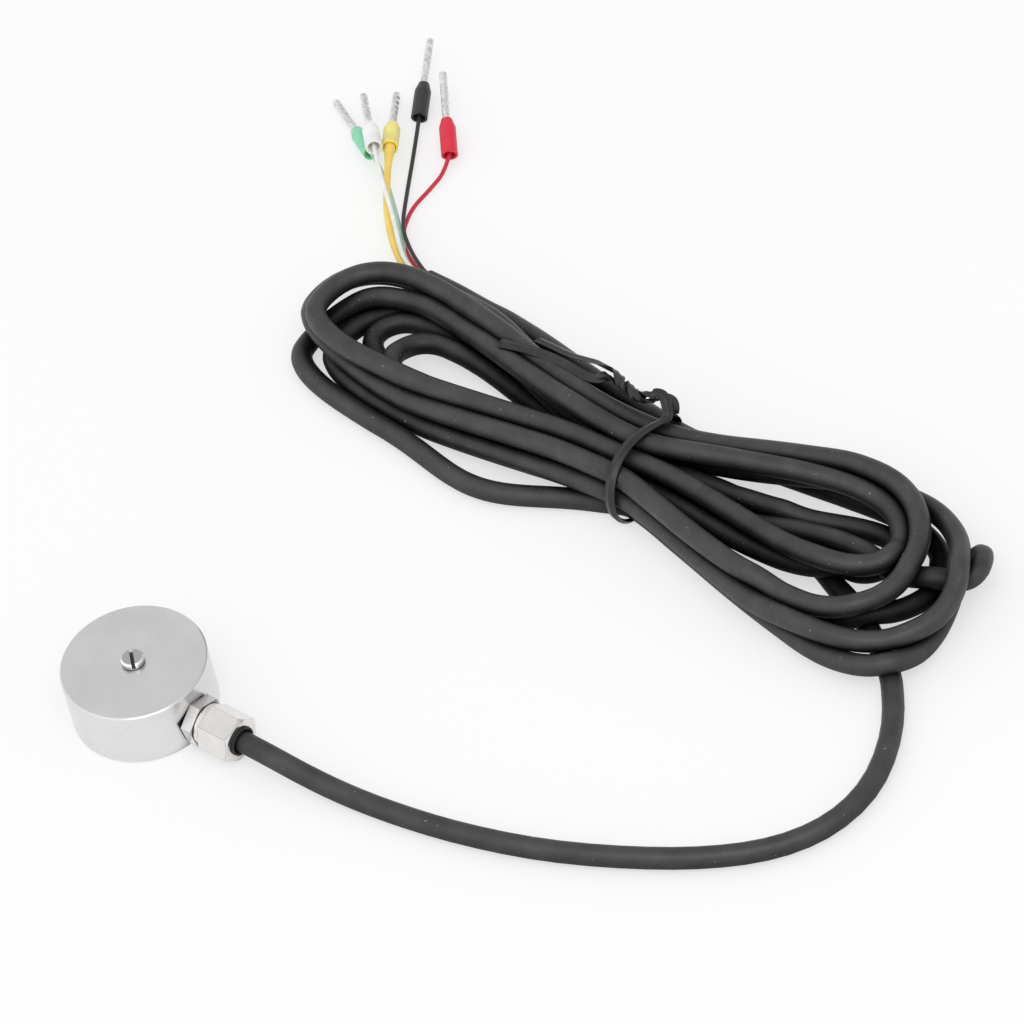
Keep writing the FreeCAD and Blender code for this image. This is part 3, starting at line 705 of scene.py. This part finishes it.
def make_tie():
    near_strand, near_faces = twist_path(0.0)
    far_strand, far_faces = twist_path(math.pi)
    stretches = [
        (UPPER_TAIL, [UPPER_TAIL_FACE] * len(UPPER_TAIL)),
        (near_strand[::-1], near_faces[::-1]),
        (NEAR_STRAP, [STRAP_FACE] * len(NEAR_STRAP)),
        (BAND, [band_face(place) for place in BAND]),
        (FAR_STRAP, [STRAP_FACE] * len(FAR_STRAP)),
        (far_strand, far_faces),
        (LOWER_TAIL, [LOWER_TAIL_FACE] * len(LOWER_TAIL)),
    ]
    places = hank_to_row(np.concatenate([stretch for stretch, faces in stretches]))
    faces = hank_to_row(np.concatenate([faces for stretch, faces in stretches]))
    turned = faces - hank_to_row([(0.0, 0.0, 0.0)])
    smooth_places = spline_points(places, STRIP_STEPS)
    smooth_faces = spline_points(turned, STRIP_STEPS)
    piece = strip_mesh("tie_strip", smooth_places, smooth_faces, tie_material())
    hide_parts("twist_tie")
    return piece


tie = make_tie()


# Metals and hidden pieces of the sensor.

BODY_COLOUR = (0.78, 0.78, 0.79)
SCREW_COLOUR = (0.95, 0.95, 0.94)
SCREW_END_COLOUR = (0.5, 0.5, 0.5)
SCREW_SLOT_PAINTED_SHADE = (0.01, 0.01, 0.01)
SCREW_SLOT_REACH = 0.0012
GLAND_COLOUR = (0.84, 0.82, 0.8)
METAL_SHADE = 0.9
PIN_COLOUR = (0.82, 0.82, 0.83)
PIN_DARK = (0.6, 0.6, 0.61)
PIN_PALE = (0.92, 0.92, 0.92)
SEAL_COLOUR = (0.012, 0.012, 0.012)
GAUGE_COLOUR = (0.62, 0.4, 0.14)
BOARD_COLOUR = (0.05, 0.24, 0.11)

# Painted dark reflections on the gland's edges, and painted shade and reflections darkening the metal
# where gland and body stand close to another piece.
EDGE_PAINTED_REFLECTION = (0.34, 0.32, 0.31)
EDGE_WIDTH = 0.00016
EDGE_LIKENESS = (0.99, 0.9)
GLAND_PAINTED_SHADE = (0.12, 0.11, 0.11)
GLAND_CORNER_REACH = 0.0025
BODY_PAINTED_SHADE = (0.14, 0.13, 0.13)
BODY_CORNER_REACH = 0.0022
CORNER_LIGHT = (0.75, 0.3)
GLAND_SIDE = (1.0, 0.0, 0.0)


def metal_material(name, colour, low, high, cloud_scale, grain_scale):
    material, tree, shader = new_material(name, colour, low, metallic=1.0)
    dull = tuple(value * METAL_SHADE for value in colour)
    clouded(tree, shader, scale=cloud_scale, detail=5.0, dark=(0.3, dull), pale=(0.7, colour))
    uneven(tree, shader, scale=cloud_scale * 3.0, detail=4.0, low=low, high=high)
    grain(tree, shader, scale=grain_scale, detail=5.0, strength=0.08, distance=0.00003)
    return material


def pin_material():
    material, tree, shader = new_material("pin_metal", PIN_COLOUR, roughness=0.3, metallic=1.0)
    clouded(tree, shader, scale=1600.0, detail=3.0, dark=(0.3, PIN_DARK), pale=(0.65, PIN_PALE))
    uneven(tree, shader, scale=2500.0, detail=3.0, low=0.22, high=0.5)
    grain(tree, shader, scale=1700.0, detail=2.0, strength=0.5, distance=0.0001)
    return material


def paint_edge_reflections(material, width, colour):
    # Painted dark reflections: thin lines where two flats meet, found by comparing the true normal with
    # a rounded one.
    tree = material.node_tree
    shader = tree.nodes["Principled BSDF"]
    rounded = add_node(tree, "ShaderNodeBevel", samples=6, Radius=width)
    true_normal = add_node(tree, "ShaderNodeNewGeometry").outputs["True Normal"]
    likeness = add_node(tree, "ShaderNodeVectorMath", operation="DOT_PRODUCT")
    tree.links.new(rounded.outputs["Normal"], likeness.inputs[0])
    tree.links.new(true_normal, likeness.inputs[1])
    line = rescale(tree, likeness.outputs["Value"], EDGE_LIKENESS, (0.0, 1.0))
    mix_over(tree, shader, line, colour)


def paint_corner_shade(material, reach, colour, direction=None):
    # Painted shade and reflections: darkens the metal where another piece stands close, on the side that
    # looks along the direction.
    tree = material.node_tree
    shader = tree.nodes["Principled BSDF"]
    shade = occlusion(tree, reach, samples=12)
    factor = rescale(tree, shade.outputs["AO"], CORNER_LIGHT, (0.0, 1.0))
    if direction:
        factor = calculate(tree, "MULTIPLY", factor, facing(tree, direction, low=0.8, high=0.95))
    mix_over(tree, shader, factor, colour)


def darken_screw_end_and_slot(material):
    # Darker turned end faces where they look upward, inside a bright chamfer, and painted shade that
    # deepens into the slot.
    tree = material.node_tree
    shader = tree.nodes["Principled BSDF"]
    mix_over(tree, shader, facing(tree, UPWARD, low=0.9, high=0.97), SCREW_END_COLOUR)
    shade = occlusion(tree, SCREW_SLOT_REACH, samples=12)
    tree.links.new(shader.inputs["Base Color"].links[0].from_socket, shade.inputs["Color"])
    deep = spread(tree, shade.outputs["AO"], low=1.0, high=0.0)
    tree.links.new(shade.outputs["Color"], shader.inputs["Base Color"])
    mix_over(tree, shader, deep, SCREW_SLOT_PAINTED_SHADE)


body_steel = metal_material(
    "body_steel", BODY_COLOUR, low=0.2, high=0.32, cloud_scale=120.0, grain_scale=5000.0)
screw_steel = metal_material(
    "screw_steel", SCREW_COLOUR, low=0.14, high=0.26, cloud_scale=500.0, grain_scale=4000.0)
gland_metal = metal_material(
    "gland_metal", GLAND_COLOUR, low=0.14, high=0.26, cloud_scale=300.0, grain_scale=4000.0)
darken_screw_end_and_slot(screw_steel)
paint_edge_reflections(gland_metal, EDGE_WIDTH, EDGE_PAINTED_REFLECTION)
paint_corner_shade(gland_metal, GLAND_CORNER_REACH, GLAND_PAINTED_SHADE)
paint_corner_shade(body_steel, BODY_CORNER_REACH, BODY_PAINTED_SHADE, GLAND_SIDE)
dress("sensor_body", body_steel)
dress("base_cover", body_steel)
dress("load_screw", screw_steel)
dress("gland_body", gland_metal)
dress("gland_nut", gland_metal)
dress("gland_seal", plastic_material("seal_rubber", SEAL_COLOUR, roughness=0.6))
dress("strain_gauges", plastic_material("gauge_film", GAUGE_COLOUR, roughness=0.4))
dress("terminal_board", plastic_material("board", BOARD_COLOUR, roughness=0.35))
tinned = pin_material()
for colour in WIRES:
    dress("ferrule_pin_" + colour, tinned)


# Floor, background and light.

FLOOR_SIZE = 4.0
FLOOR_DROP = 0.0001
FLOOR_COLOUR = (0.9, 0.9, 0.9)

# Share of plain white that the floor shows the camera. The rest of it takes the shadows.
FLOOR_WHITE = 0.6

# Strength of the background from the near side, at -Y, to the far side.
NEAR_STRENGTH = 1.12
FAR_STRENGTH = 0.62

SOFTBOX_SIZE = (0.9, 0.7)
SOFTBOX_POWER = 3.8
SOFTBOX_PLACE = (0.45, -0.35, 1.05)
SOFTBOX_AIM = (0.03, 0.05, 0.0)


def floor_material():
    material, tree, shader = new_material("floor", FLOOR_COLOUR, roughness=0.8)
    rays = add_node(tree, "ShaderNodeLightPath")
    seen = rays.outputs["Is Camera Ray"]
    for kind in ("Is Glossy Ray", "Is Transmission Ray"):
        seen = calculate(tree, "MAXIMUM", seen, rays.outputs[kind])
    white = add_node(tree, "ShaderNodeEmission", Color=(*WHITE, 1.0), Strength=1.0)
    blend = add_node(tree, "ShaderNodeMixShader")
    tree.links.new(spread(tree, seen, low=0.0, high=FLOOR_WHITE), blend.inputs[0])
    tree.links.new(shader.outputs["BSDF"], blend.inputs[1])
    tree.links.new(white.outputs["Emission"], blend.inputs[2])
    tree.links.new(blend.outputs["Shader"], tree.nodes["Material Output"].inputs["Surface"])
    return material


def make_floor():
    bpy.ops.mesh.primitive_plane_add(size=FLOOR_SIZE, location=(0.0, 0.0, -FLOOR_DROP))
    floor = bpy.context.object
    floor.name = "floor"
    floor.data.materials.append(floor_material())


def make_background():
    world = bpy.data.worlds.new("studio")
    scene.world = world
    world.use_nodes = True
    tree = world.node_tree
    background = tree.nodes["Background"]
    direction = add_node(tree, "ShaderNodeTexCoord")
    parts = add_node(tree, "ShaderNodeSeparateXYZ")
    tree.links.new(direction.outputs["Generated"], parts.inputs["Vector"])
    strength = rescale(tree, parts.outputs["Y"], (-1.0, 1.0), (NEAR_STRENGTH, FAR_STRENGTH))
    tree.links.new(strength, background.inputs["Strength"])
    background.inputs["Color"].default_value = (*WHITE, 1.0)


def make_softbox():
    data = bpy.data.lights.new("softbox", "AREA")
    data.shape = "RECTANGLE"
    data.size, data.size_y = SOFTBOX_SIZE
    data.energy = SOFTBOX_POWER
    lamp = bpy.data.objects.new("softbox", data)
    lamp.location = SOFTBOX_PLACE
    aim = Vector(SOFTBOX_AIM) - lamp.location
    lamp.rotation_euler = aim.to_track_quat("-Z", "Y").to_euler()
    scene.collection.objects.link(lamp)


make_floor()
make_background()
make_softbox()
